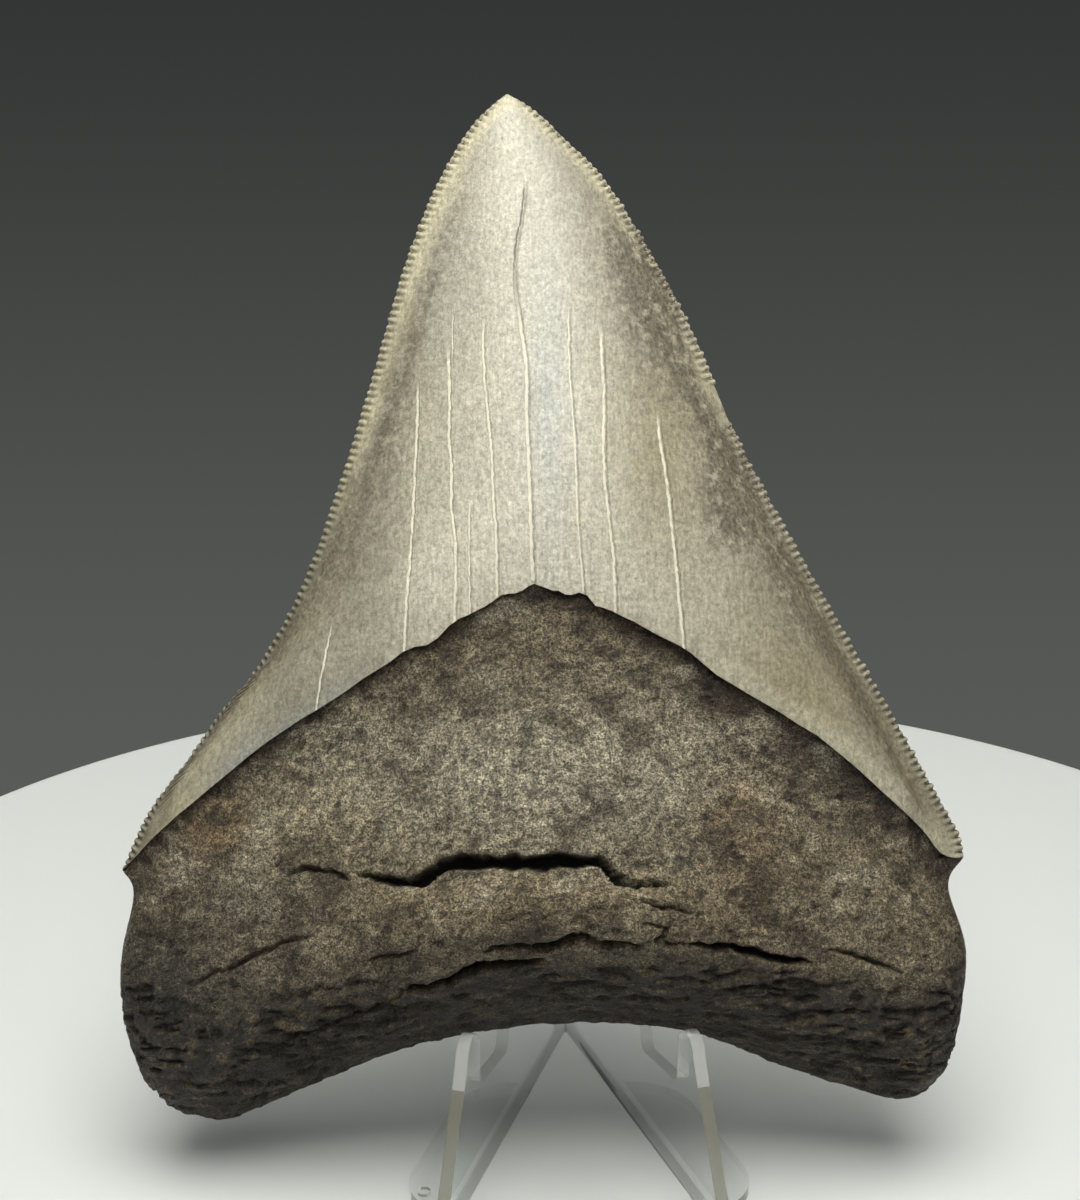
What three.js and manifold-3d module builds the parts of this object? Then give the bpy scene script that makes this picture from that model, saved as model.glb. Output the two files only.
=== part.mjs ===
// A fossil megalodon tooth standing in a clear moulded easel, in millimetres with +Z up.
// The tooth is one solid: a serrated enamel blade, the step where the enamel ends, and a thick two-lobed root.
// The easel is one solid: two upright wings that meet in a spine at the back, with fingers, arms and feet.
// The front is -Y and shows the tooth's inner face, with its taller root. The origin is on the floor,
// in the middle of the whole object's box.
import * as THREE from "three";
import { mergeVertices } from "three/addons/utils/BufferGeometryUtils.js";
import Module from "manifold-3d";

const wasm = await Module();
wasm.setup();

// Where the tooth stands. Its own frame has x across, z from the lobes to the tip and y towards the back.
const TOOTH_LEAN_DEG = 16;
const TOOTH_LEFT_OF_SPINE = 3.4;
const TOOTH_AHEAD_OF_SPINE = 34.22;
const TOOTH_ABOVE_FLOOR = 7.75;

// The tooth's outlines and depths below are drawn for a slightly smaller tooth, and this scales them up.
const TOOTH_SCALE = 1.029;

// Outlines of the tooth as seen from the front, each point as [x, z].
const LEFT_EDGE = [
  [-3.75, 115.4],
  [-6.35, 113],
  [-8.7, 110],
  [-11.85, 104],
  [-15.25, 95],
  [-18.65, 83],
  [-22.3, 71],
  [-26.7, 59],
  [-31.7, 50],
  [-36.1, 44.6],
  [-39.9, 39.2],
  [-43.9, 33.8],
  [-47, 27.1],
];
const RIGHT_EDGE = [
  [-3.75, 115.4],
  [-0.3, 113],
  [2.75, 110],
  [6.65, 106],
  [10.55, 100],
  [15.1, 92],
  [19.2, 83],
  [22.1, 76],
  [24.6, 71],
  [29.9, 61.5],
  [35.3, 52],
  [38.9, 46],
  [43.6, 37.5],
  [46.9, 31.6],
  [47.7, 28.6],
];
const FRONT_ENAMEL_END = [
  [-47, 27.1],
  [-42.4, 32],
  [-31.2, 41.1],
  [-21.6, 47.6],
  [-15.2, 52.1],
  [-9.8, 55.1],
  [-0.8, 59.3],
  [4.3, 58.2],
  [11.9, 54.4],
  [19.5, 49.4],
  [25.2, 45.9],
  [32, 41.6],
  [42, 32.8],
  [45, 29.4],
  [47.7, 28.6],
];
const BACK_ENAMEL_END = [
  [-47, 27.1],
  [-36, 29.5],
  [-20, 36],
  [-1, 41.5],
  [20, 37],
  [36, 30.5],
  [47.7, 28.6],
];
const LEFT_ROOT_SIDE = [
  [-47, 27.1],
  [-45.9, 24.5],
  [-47.3, 16.5],
  [-46.2, 8.5],
  [-43.4, 2.6],
];
const RIGHT_ROOT_SIDE = [
  [47.7, 28.6],
  [46.1, 25.5],
  [48, 18.4],
  [46.9, 9.4],
  [45, 4.2],
];
const ROOT_ARCH = [
  [-43.4, 2.6],
  [-41.6, -0.2],
  [-38.4, -1.2],
  [-34.1, -1.2],
  [-26, 2.1],
  [-18, 5.4],
  [-7.8, 8.1],
  [3.5, 9.5],
  [16.9, 8.2],
  [27.1, 4.5],
  [34, 2.3],
  [40.1, 0.7],
  [43.4, 1.5],
  [45, 4.2],
];

// Depths of the tooth, measured from the plane of its cutting edges. The arch lies behind that plane,
// so the root's underside slopes up towards the front.
const BLADE_FRONT_DEPTH = 9.6;
const BLADE_BACK_DEPTH = 4.4;
const TIP_SET_BACK = 1.5;
const EDGE_BOW = 1;
const ENAMEL_STEP = 0.7;
const ROOT_NECK_DEPTH = 10;
const ROOT_BULGE_DEPTH = 15.4;
const ROOT_BACK_DEPTH = 7;
const ARCH_DEPTH = 6.3;
const LOBE_DEPTH_SHARE = 0.56;
const LEDGE_HEIGHT = 1.5;

// Serrations along the cutting edges. A short stretch of the right edge has lost its own.
const SERRATION_PITCH = 0.86;
const SERRATION_HEIGHT = 0.4;
const WORN_FROM = 0.41;
const WORN_TO = 0.445;

// Cracks in the front of the root: the middle line as [x, z], with the gap's width and depth.
const CRACKS = [
  {
    path: [
      [-20.1, 27.4],
      [-16.5, 26.9],
      [-12.7, 27.2],
      [-11, 28.5],
      [-9, 29.7],
      [-4.2, 29.8],
      [5.3, 29.9],
      [6.9, 28.4],
      [9, 27.1],
      [14, 26.9],
    ],
    width: 1.2,
    depth: 3.6,
  },
  {
    path: [
      [-14.5, 15.7],
      [-10.5, 16.9],
      [-6.4, 18.7],
      [-2.6, 19],
      [0.6, 19.8],
    ],
    width: 0.9,
    depth: 3,
  },
  {
    path: [
      [-6.2, 20.8],
      [0.6, 21.3],
      [4.2, 22.1],
      [6.6, 21.3],
      [11, 21.3],
    ],
    width: 0.9,
    depth: 3,
  },
  {
    path: [
      [15.8, 21.5],
      [21.8, 20.3],
      [25.5, 19.1],
      [29.5, 18.7],
    ],
    width: 0.8,
    depth: 2.6,
  },
  {
    path: [
      [31, 19.9],
      [35, 19.1],
      [40, 16.7],
    ],
    width: 0.6,
    depth: 2.2,
  },
  {
    path: [
      [-38.5, 15.9],
      [-33.5, 17.9],
      [-28.6, 20.5],
      [-24.2, 21.7],
    ],
    width: 0.6,
    depth: 2.2,
  },
];

// The easel's wings, as [distance from the spine, height]. Their inner faces meet at the spine's line.
const WING_LENGTH = 50.6;
const WING_ANGLE_DEG = 17.6;
const EASEL_TURN_DEG = 1.7;
const PLATE = 1.5;
const SPINE_RADIUS = 1.5;
const SPINE_SET_BACK = 0.9;
const FRONT_BEND = [43.2, 14.6];
const FINGER_RADIUS = 2.2;
const FINGER_CENTRE = [39.6, 17.5];
const SHELF_FRONT = [37.4, 12.1];
const SHELF_BACK = [26.3, 11];
const NOTCH_FILLET = 1.2;
const ARM_FRONT_TOP = [16.2, 45];
const ARM_HEIGHT = 50;
const ARM_CORNER = 4;
const FOOT_WIDTH = 7.7;
const FOOT_THICKNESS = 1.2;
const FOOT_FRONT = 47.2;
const FOOT_BACK = 17;
const MARK_RADIUS = 0.8;
const MARK_DEPTH = 0.4;
const MARK_PLACE = [43.2, -5];

// Counts that set how fine the tooth's faces are.
const COLUMNS = 40;
const FRONT_CROWN_ROWS = 18;
const FRONT_ROOT_ROWS = 34;
const BACK_CROWN_ROWS = 12;
const BACK_ROOT_ROWS = 14;

const radians = THREE.MathUtils.degToRad;
const smooth = THREE.MathUtils.smoothstep;
const mix = THREE.MathUtils.lerp;

function outline(points) {
  return new THREE.SplineCurve(points.map(([x, z]) => new THREE.Vector2(x, z)));
}

const leftEdge = outline(LEFT_EDGE);
const rightEdge = outline(RIGHT_EDGE);
const frontEnd = outline(FRONT_ENAMEL_END);
const backEnd = outline(BACK_ENAMEL_END);
const leftSide = outline(LEFT_ROOT_SIDE);
const rightSide = outline(RIGHT_ROOT_SIDE);
const arch = outline(ROOT_ARCH);

// The cutting edges' own depth: the tip is set back a little and the middle bows forward.
function edgeDepth(v) {
  return TIP_SET_BACK * (1 - v) ** 2 - EDGE_BOW * Math.sin(Math.PI * v);
}

// How far the blade's faces stand off the cutting edges, as a share, from one edge to the other.
function bladeSwell(u, v) {
  const across = Math.abs(2 * u - 1);
  const along = 1 - (1 - v) ** 1.5;
  return along * (1 - across ** 2.2) ** 0.85;
}

// A point of the blade: a patch between the two cutting edges, the tip and the line where the enamel ends.
function bladePoint(u, v, side) {
  const end = side < 0 ? frontEnd : backEnd;
  const left = leftEdge.getPointAt(v);
  const right = rightEdge.getPointAt(v);
  const lift = end.getPointAt(u).sub(end.getPoint(0).lerp(end.getPoint(1), u));
  const flat = left.lerp(right, u).addScaledVector(lift, v ** 1.5);
  const depth = side < 0 ? -BLADE_FRONT_DEPTH : BLADE_BACK_DEPTH;
  return new THREE.Vector3(flat.x, edgeDepth(v) + depth * bladeSwell(u, v), flat.y);
}

// The root's depth in front, before its edges are rounded: a neck, then the bulge that overhangs the arch.
function rootFrontDepth(u, w) {
  const bulge = Math.exp(-(((u - 0.5) / 0.24) ** 2));
  const swell = smooth(w, 0.1, 0.66) - 0.12 * smooth(w, 0.78, 1);
  const middle = mix(ROOT_NECK_DEPTH, ROOT_BULGE_DEPTH, swell);
  return middle * mix(LOBE_DEPTH_SHARE, 1, bulge);
}

// The lip that stands out under the first crack and ends at the second one.
function ledge(x, z) {
  const across = smooth(x, -24, -14) * (1 - smooth(x, 12, 22));
  const top = 29.3 - 0.008 * x * x;
  return LEDGE_HEIGHT * across * smooth(top - z, 0, 2.4) * (1 - smooth(top - z, 5, 9.5));
}

function roundedSides(u) {
  return Math.sqrt(1 - Math.abs(2 * u - 1) ** 6);
}

function roundedBottom(w, start) {
  const q = Math.max(0, (w - start) / (1 - start));
  return Math.sqrt(Math.max(0, 1 - q * q));
}

// A root point's place seen from the front: a patch between the enamel's end, the sides and the arch.
function rootFlat(u, w, side) {
  const end = side < 0 ? frontEnd : backEnd;
  const corners = end.getPoint(0).lerp(end.getPoint(1), u);
  corners.lerp(arch.getPoint(0).lerp(arch.getPoint(1), u), w);
  const rows = end.getPointAt(u).lerp(arch.getPointAt(u), w);
  const columns = leftSide.getPointAt(w).lerp(rightSide.getPointAt(w), u);
  return rows.add(columns).sub(corners);
}

function rootPoint(u, w, side) {
  const flat = rootFlat(u, w, side);
  const neck = bladePoint(u, 1, side).y - side * ENAMEL_STEP * roundedSides(u);
  const belly = mix(ARCH_DEPTH, -rootFrontDepth(u, w), roundedBottom(w, 0.66));
  const front = belly - ledge(flat.x, flat.y);
  const back = mix(ARCH_DEPTH, ROOT_BACK_DEPTH, roundedBottom(w, 0.8));
  const body = (side < 0 ? front : back) * roundedSides(u);
  return new THREE.Vector3(flat.x, mix(neck, body, smooth(w, 0, 0.3)), flat.y);
}

// Evenly spaced steps, drawn closer together towards both ends.
function easedSteps(count) {
  return Array.from({ length: count + 1 }, (_, i) => (1 - Math.cos((Math.PI * i) / count)) / 2);
}

// The part of a skin line that lies on the root, from the enamel's end down to the arch.
function rootLine(u, side) {
  const rows = side < 0 ? FRONT_ROOT_ROWS : BACK_ROOT_ROWS;
  return Array.from({ length: rows + 1 }, (_, j) => {
    const w = Math.sin((Math.PI / 2) * (j / rows));
    return { at: 1.001 + j / rows, point: rootPoint(u, w, side) };
  });
}

// One line of the tooth's skin from the tip down to the arch. Each entry holds its place along the line.
function skinLine(u, side) {
  const rows = side < 0 ? FRONT_CROWN_ROWS : BACK_CROWN_ROWS;
  const crown = Array.from({ length: rows + 1 }, (_, i) => {
    return { at: i / rows, point: bladePoint(u, i / rows, side) };
  });
  return crown.concat(rootLine(u, side));
}

// The tooth's outline on one side: the serrated cutting edge, then the side of the root.
function outlineLine(u) {
  const edge = u === 0 ? leftEdge : rightEdge;
  const outward = u === 0 ? 1 : -1;
  const count = Math.round(edge.getLength() / SERRATION_PITCH);
  const line = [{ at: 0, point: bladePoint(u, 0, -1) }];
  for (let i = 1; i < 2 * count; i++) {
    const v = i / (2 * count);
    const worn = u === 1 && v > WORN_FROM && v < WORN_TO;
    const height = i % 2 && !worn ? SERRATION_HEIGHT : 0;
    const point = bladePoint(u, v, -1);
    const along = edge.getTangentAt(v);
    point.x += along.y * height * outward;
    point.z -= along.x * height * outward;
    line.push({ at: v, point });
  }
  line.push({ at: 1, point: bladePoint(u, 1, -1) });
  return line.concat(rootLine(u, -1));
}

// Triangles between two lines that may hold different numbers of points, each step taking the nearer one.
function bandBetween(first, second, positions, flipped) {
  let i = 0;
  let j = 0;
  while (i < first.length - 1 || j < second.length - 1) {
    const nextFirst = i < first.length - 1 ? first[i + 1].at : Infinity;
    const nextSecond = j < second.length - 1 ? second[j + 1].at : Infinity;
    const corners = [first[i].point, second[j].point];
    if (nextFirst <= nextSecond) corners.push(first[++i].point);
    else corners.push(second[++j].point);
    if (flipped) corners.reverse();
    corners.forEach((corner) => positions.push(corner.x, corner.y, corner.z));
  }
}

function toManifold(geometry) {
  const bare = geometry.index ? geometry.toNonIndexed() : geometry.clone();
  bare.deleteAttribute("normal");
  bare.deleteAttribute("uv");
  const merged = mergeVertices(bare, 1e-4);
  const corners = merged.index.array;
  const kept = [];
  for (let i = 0; i < corners.length; i += 3) {
    const [a, b, c] = corners.subarray(i, i + 3);
    if (a !== b && b !== c && c !== a) kept.push(a, b, c);
  }
  const vertProperties = merged.attributes.position.array;
  return new wasm.Manifold(
    new wasm.Mesh({ numProp: 3, vertProperties, triVerts: new Uint32Array(kept) }),
  );
}

function toGeometry(solid) {
  const mesh = solid.getMesh();
  const geometry = new THREE.BufferGeometry();
  geometry.setAttribute("position", new THREE.BufferAttribute(mesh.vertProperties, 3));
  geometry.setIndex(new THREE.BufferAttribute(mesh.triVerts, 1));
  geometry.computeVertexNormals();
  return geometry;
}

function toothSkin() {
  const steps = easedSteps(COLUMNS);
  const positions = [];
  for (const side of [-1, 1]) {
    const lines = steps.map((u) => (u > 0 && u < 1 ? skinLine(u, side) : outlineLine(u)));
    for (let k = 0; k < COLUMNS; k++) {
      bandBetween(lines[k], lines[k + 1], positions, side < 0);
    }
  }
  const geometry = new THREE.BufferGeometry();
  geometry.setAttribute("position", new THREE.Float32BufferAttribute(positions, 3));
  return toManifold(geometry);
}

// A crack's cutter: a ribbon that tapers to both ends, pushed into the root's front.
function crackCutter({ path, width, depth }) {
  const line = outline(path);
  const stations = 4 * path.length;
  const upper = [];
  const lower = [];
  for (let i = 0; i <= stations; i++) {
    const at = i / stations;
    const middle = line.getPointAt(at);
    const half = 0.5 * width * Math.max(0.08, Math.sin(Math.PI * at) ** 0.6);
    upper.push(new THREE.Vector2(middle.x, middle.y + half));
    lower.push(new THREE.Vector2(middle.x, middle.y - half));
  }
  const shape = new THREE.Shape(lower.concat(upper.reverse()));
  const cutter = new THREE.ExtrudeGeometry(shape, { depth: ROOT_BULGE_DEPTH, bevelEnabled: false });
  cutter.rotateX(Math.PI / 2);
  cutter.translate(0, depth - ROOT_NECK_DEPTH, 0);
  return toManifold(cutter);
}

function makeTooth() {
  let solid = toothSkin();
  for (const crack of CRACKS) solid = solid.subtract(crackCutter(crack));
  return toGeometry(solid);
}

// A wing's side view, from the spine's foot round the finger, the notch and the arm.
function wingShape() {
  const [fingerX, fingerZ] = FINGER_CENTRE;
  const [frontX, frontZ] = SHELF_FRONT;
  const [backX, backZ] = SHELF_BACK;
  const [armX, armZ] = ARM_FRONT_TOP;
  const shape = new THREE.Shape();
  shape.moveTo(0, 0);
  shape.lineTo(WING_LENGTH, 0);
  shape.lineTo(...FRONT_BEND);
  shape.lineTo(fingerX + FINGER_RADIUS, fingerZ);
  shape.absarc(fingerX, fingerZ, FINGER_RADIUS, 0, Math.PI, false);
  shape.lineTo(frontX, frontZ + NOTCH_FILLET);
  shape.quadraticCurveTo(frontX, frontZ, frontX - NOTCH_FILLET, frontZ);
  shape.lineTo(backX + NOTCH_FILLET, backZ);
  shape.quadraticCurveTo(backX, backZ, backX, backZ + NOTCH_FILLET);
  shape.lineTo(armX, armZ);
  shape.quadraticCurveTo(armX - 0.5, ARM_HEIGHT, armX - ARM_CORNER, ARM_HEIGHT);
  shape.lineTo(0, ARM_HEIGHT);
  return shape;
}

// A foot as seen from above: a strip along the wing's foot with round outer corners.
function footShape() {
  const shape = new THREE.Shape();
  shape.moveTo(FOOT_BACK, 0);
  shape.absarc(FOOT_BACK + FOOT_WIDTH, 0, FOOT_WIDTH, Math.PI, Math.PI / 2, true);
  shape.lineTo(FOOT_FRONT - FOOT_WIDTH, FOOT_WIDTH);
  shape.absarc(FOOT_FRONT - FOOT_WIDTH, 0, FOOT_WIDTH, Math.PI / 2, 0, true);
  return shape;
}

// One wing with its foot, turned about the spine. side is -1 for the left wing and 1 for the right one.
function wing(side) {
  const plate = new THREE.ExtrudeGeometry(wingShape(), {
    depth: PLATE,
    bevelEnabled: false,
    curveSegments: 12,
  });
  plate.rotateX(Math.PI / 2);
  plate.translate(0, side < 0 ? 0 : PLATE, 0);
  const foot = new THREE.ExtrudeGeometry(footShape(), {
    depth: FOOT_THICKNESS,
    bevelEnabled: false,
    curveSegments: 12,
  });
  if (side < 0) foot.rotateX(Math.PI).translate(0, 0, FOOT_THICKNESS);
  const solid = toManifold(plate).add(toManifold(foot));
  return solid.rotate([0, 0, EASEL_TURN_DEG - 90 + side * WING_ANGLE_DEG]);
}

// A shallow round moulding mark in the top of the left foot.
function footMark() {
  const mark = new THREE.CylinderGeometry(MARK_RADIUS, MARK_RADIUS, 2 * MARK_DEPTH, 16);
  mark.rotateX(Math.PI / 2);
  mark.translate(...MARK_PLACE, FOOT_THICKNESS);
  return toManifold(mark).rotate([0, 0, EASEL_TURN_DEG - 90 - WING_ANGLE_DEG]);
}

function makeEasel() {
  const spine = new THREE.CylinderGeometry(SPINE_RADIUS, SPINE_RADIUS, ARM_HEIGHT, 24);
  spine.rotateX(Math.PI / 2);
  spine.translate(0, SPINE_SET_BACK, ARM_HEIGHT / 2);
  const body = toManifold(spine).add(wing(-1)).add(wing(1));
  return toGeometry(body.subtract(footMark()));
}

const toothMaterial = new THREE.MeshStandardMaterial({
  color: 0x8a8273,
  roughness: 0.6,
  metalness: 0,
});
const easelMaterial = new THREE.MeshStandardMaterial({
  color: 0xe8eeee,
  roughness: 0.08,
  metalness: 0,
  transparent: true,
  opacity: 0.35,
});

const tooth = new THREE.Mesh(makeTooth(), toothMaterial);
tooth.name = "tooth";
tooth.scale.setScalar(TOOTH_SCALE);
tooth.rotation.x = -radians(TOOTH_LEAN_DEG);
tooth.position.set(-TOOTH_LEFT_OF_SPINE, -TOOTH_AHEAD_OF_SPINE, TOOTH_ABOVE_FLOOR);

const easel = new THREE.Mesh(makeEasel(), easelMaterial);
easel.name = "easel";

const group = new THREE.Group();
group.add(tooth, easel);
group.updateMatrixWorld(true);
const middle = new THREE.Box3().setFromObject(group, true).getCenter(new THREE.Vector3());
group.position.set(-middle.x, -middle.y, 0);

export default group;
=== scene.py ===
import math
import bpy
import bmesh
import numpy as np
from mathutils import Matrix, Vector


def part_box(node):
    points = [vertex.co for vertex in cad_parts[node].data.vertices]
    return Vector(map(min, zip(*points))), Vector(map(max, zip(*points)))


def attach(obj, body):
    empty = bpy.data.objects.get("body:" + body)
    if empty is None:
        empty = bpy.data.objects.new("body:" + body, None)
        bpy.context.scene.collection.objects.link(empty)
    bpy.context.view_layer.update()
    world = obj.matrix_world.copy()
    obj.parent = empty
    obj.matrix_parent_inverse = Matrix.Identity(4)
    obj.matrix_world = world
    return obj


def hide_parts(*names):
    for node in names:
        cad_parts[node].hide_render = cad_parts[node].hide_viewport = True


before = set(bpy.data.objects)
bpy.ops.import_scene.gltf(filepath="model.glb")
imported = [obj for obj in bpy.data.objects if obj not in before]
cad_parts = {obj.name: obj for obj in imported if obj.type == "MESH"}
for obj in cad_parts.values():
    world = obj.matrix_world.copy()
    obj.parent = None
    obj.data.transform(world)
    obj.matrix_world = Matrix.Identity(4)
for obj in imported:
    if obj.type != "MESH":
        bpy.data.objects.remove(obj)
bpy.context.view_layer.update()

# Sizes are in millimetres and angles in degrees, down to the setting.
# Easel: two wings that meet in a spine. Places on a wing are (distance from the spine, height).
WING_LENGTH = 50.6
WING_ANGLE = 17.6
EASEL_TURN = 1.7
PLATE = 1.5
SPINE_RADIUS = 1.5
SPINE_SET_BACK = 0.9
FRONT_BEND = (43.2, 14.6)
FINGER_RADIUS = 2.2
FINGER_CENTRE = (39.6, 17.5)
SHELF_FRONT = (37.4, 12.1)
SHELF_BACK = (26.3, 11)
NOTCH_FILLET = 1.2
ARM_FRONT_TOP = (16.2, 45)
ARM_HEIGHT = 50
ARM_CORNER = 4
ARM_CORNER_SET_BACK = 1
FOOT_WIDTH = 7.7
FOOT_THICKNESS = 1.2
FOOT_FRONT = 47.2
FOOT_BACK = 17
MARK_RADIUS = 0.8
MARK_DEPTH = 0.4
MARK_PLACE = (43.2, -5)
SOFT_EDGE = 0.22
# The line where the wings' inner faces meet, in the row frame.
EASEL_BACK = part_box("easel")[1][1] * 1000
SPINE = (3.033, EASEL_BACK - (SPINE_RADIUS + SPINE_SET_BACK))

# The tooth's own frame: x across, z from the lobes to the tip, y to the back. Its outlines are drawn for a
# slightly smaller tooth, and the scale corrects that.
TOOTH_LEFT_OF_SPINE = 3.4
TOOTH_AHEAD_OF_SPINE = 34.22
TOOTH_ABOVE_FLOOR = 7.75
TOOTH_LEAN = 16
TOOTH_SCALE = 1.029

# Outlines of the tooth, each point as (x, z).
LEFT_EDGE = [
    (-3.75, 115.4), (-6.35, 113), (-8.7, 110), (-11.85, 104), (-15.25, 95), (-18.65, 83),
    (-22.3, 71), (-26.7, 59), (-31.7, 50), (-36.1, 44.6), (-39.9, 39.2), (-43.9, 33.8),
    (-47, 27.1),
]
RIGHT_EDGE = [
    (-3.75, 115.4), (-0.3, 113), (2.75, 110), (6.65, 106), (10.55, 100), (15.1, 92),
    (19.2, 83), (22.1, 76), (24.6, 71), (29.9, 61.5), (35.3, 52), (38.9, 46),
    (43.6, 37.5), (46.9, 31.6), (47.7, 28.6),
]
FRONT_ENAMEL_END = [
    (-47, 27.1), (-42.4, 32), (-31.2, 41.1), (-21.6, 47.6), (-15.2, 52.1), (-9.8, 55.1), (-0.8, 59.3),
    (4.3, 58.2), (11.9, 54.4), (19.5, 49.4), (25.2, 45.9), (32, 41.6), (42, 32.8), (45, 29.4),
    (47.7, 28.6),
]
# Small steps of the front enamel's end away from the smooth line, as (x, step up).
END_STEPS = [
    (-40, 0), (-26, 0.2), (-16, -0.3), (-14.45, 0), (-11.75, -1.1), (-9.3, 0.2), (-5.2, 0),
    (-4.5, 0.4), (-2.26, -0.3), (-0.75, 0.35), (1.08, -0.6), (3.1, -0.5), (4, 0.3), (4.96, 0.45),
    (6, -0.4), (7.65, 0), (13.5, 0.1), (15.6, 0.6), (19.3, 0.2), (40, 0),
]
BACK_ENAMEL_END = [(-47, 27.1), (-36, 29.5), (-20, 36), (-1, 41.5), (20, 37), (36, 30.5), (47.7, 28.6)]
LEFT_ROOT_SIDE = [(-47, 27.1), (-45.9, 24.5), (-47.3, 16.5), (-46.2, 8.5), (-43.4, 2.6)]
RIGHT_ROOT_SIDE = [(47.7, 28.6), (46.1, 25.5), (48, 18.4), (46.9, 9.4), (45, 4.2)]
ROOT_ARCH = [
    (-43.4, 2.6), (-41.6, -0.2), (-38.4, -1.2), (-34.1, -1.2), (-26, 2.1), (-18, 5.4), (-7.8, 8.1),
    (3.5, 9.5), (16.9, 8.2), (27.1, 4.5), (34, 2.3), (40.1, 0.7), (43.4, 1.5), (45, 4.2),
]

# Depths of the tooth, measured from the plane of its cutting edges.
BLADE_FRONT_DEPTH = 9.6
BLADE_BACK_DEPTH = 4.4
TIP_SET_BACK = 1.5
EDGE_BOW = 1
ENAMEL_STEP = 0.7
ROOT_NECK_DEPTH = 10
ROOT_BULGE_DEPTH = 15.4
ROOT_BACK_DEPTH = 7
ARCH_DEPTH = 6.3
LOBE_DEPTH_SHARE = 0.56
LEDGE_HEIGHT = 1.5
# How far the root runs on inside the enamel: up, and towards the middle.
TUCK_UP = 50
TUCK_IN = 30

# Serrations. A stretch of the right edge, given as shares of its length, has lost its own.
SERRATION_PITCH = 0.86
SERRATION_HEIGHT = 0.42
NOTCH_GROOVE = 0.38
WORN_STRETCH = (0.405, 0.45)
NOT_WORN = (2, 2)

# Cracks in the root's front: points as (x, z), then the gap's width and depth.
ROOT_CRACKS = [
    ([(-20.1, 28.2), (-16.5, 27.8), (-12.9, 28), (-11.3, 29), (-9.6, 29.9), (-4.2, 30), (5.3, 30.1),
      (7.2, 29.2), (9, 28.1), (14, 27.6)], 1.15, 3.6),
    ([(-14.5, 15.7), (-10.5, 16.9), (-6.4, 18.7), (-2.6, 19), (0.6, 19.8)], 0.9, 3.0),
    ([(-6.2, 20.8), (0.6, 21.3), (4.2, 22.1), (6.6, 21.3), (11, 21.3)], 0.9, 3.0),
    ([(15.8, 21.5), (21.8, 20.3), (25.5, 19.1), (29.5, 18.7)], 0.8, 2.6),
    ([(31, 19.9), (35, 19.1), (40, 16.7)], 0.4, 1.0),
    ([(-38.5, 15.9), (-33.5, 17.9), (-28.6, 20.5), (-24.2, 21.7)], 0.4, 0.9),
    ([(-27.5, 27.8), (-25.5, 28.8), (-22.4, 28.2), (-20.5, 27.4)], 0.5, 1.2),
    ([(8.2, 26.6), (13.5, 25.3), (16.5, 24.5)], 0.45, 1.0),
    ([(-19, 19.2), (-15.2, 20.2), (-12.5, 21.0)], 0.4, 0.9),
    ([(-30, 9.2), (-25, 11), (-19.4, 13.2), (-14.5, 15.7)], 0.35, 0.8),
    ([(11, 24), (13.5, 22.8), (12.5, 21.6), (15.8, 21.5)], 0.45, 1.0),
]

# Cracks down the enamel's front: points as (x, z) from top to bottom, then the half width.
ENAMEL_CRACKS = [
    ([(-1.7, 105.6), (-2, 101.6), (-2.4, 99), (-2.8, 96), (-2.8, 92.8), (-2.5, 90.4), (-2, 86.8),
      (-1.5, 82.4), (-1.5, 78.2), (-1.3, 73.9), (-1.1, 68.4), (-0.9, 62.4), (-0.8, 59.8)], 0.17),
    ([(-6.1, 89.6), (-6.3, 87.2), (-6.2, 83.6), (-5.6, 77), (-5.3, 73.9), (-5, 67.3), (-4.8, 65.3),
      (-4.7, 58)], 0.13),
    ([(-9.7, 91.2), (-9.7, 84.5)], 0.07),
    ([(-10.2, 86.4), (-10, 80.4), (-10, 76), (-9.7, 71.8), (-9.7, 68.4), (-9.2, 63.2), (-9.3, 55)], 0.14),
    ([(-7.6, 69.2), (-7.7, 64.2), (-7.5, 54)], 0.09),
    ([(-13.6, 82.4), (-13.6, 77.1), (-13.8, 71.8), (-13.9, 68.4), (-14.2, 62), (-14.6, 55.8),
      (-14.8, 50)], 0.13),
    ([(-22.7, 55.6), (-23.4, 52), (-24.1, 48), (-24.6, 44)], 0.1),
    ([(3.1, 91.3), (3.2, 83.6), (3.4, 80.2), (3.8, 74.6), (4, 68.4), (4.7, 58.5)], 0.11),
    ([(6.6, 88.4), (6.8, 85), (7, 79.6), (6.9, 74.6), (7, 71.4), (7.5, 66.3), (8, 61), (8.1, 55)], 0.14),
    ([(12.9, 78.8), (13.2, 75.2), (13.9, 70.3), (14.5, 64.2), (15.2, 56.8), (15.7, 51)], 0.14),
]

# Brown mottling on the enamel's front, as spots: strength, centre (x, z) and spread.
MOTTLE_SPOTS = [
    (0.8, (21.5, 70), (3.4, 7)),
    (0.8, (13.5, 93), (3.2, 10)),
    (0.35, (10, 96), (5, 9)),
    (0.3, (-20, 62), (4, 10)),
    (0.5, (28, 58), (4, 8)),
    (0.7, (21, 69), (3, 5)),
]
# The same along the cutting edges: strength, distance in from the edge, spread, the heights between which it
# comes in, and those between which it goes out.
LEFT_MOTTLE_BANDS = [
    (0.6, 4.4, 1.3, (66, 78), (98, 106)),
    (0.65, 2.7, 1.2, (33, 40), (60, 72)),
    (0.4, 5.5, 3.6, (34, 44), (74, 90)),
]
RIGHT_MOTTLE_BANDS = [
    (0.75, 3.6, 2.2, (34, 50), (92, 106)),
    (0.7, 4.2, 2.6, (30, 36), (56, 70)),
    (0.25, 6.5, 4, (34, 44), (90, 104)),
]

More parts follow.
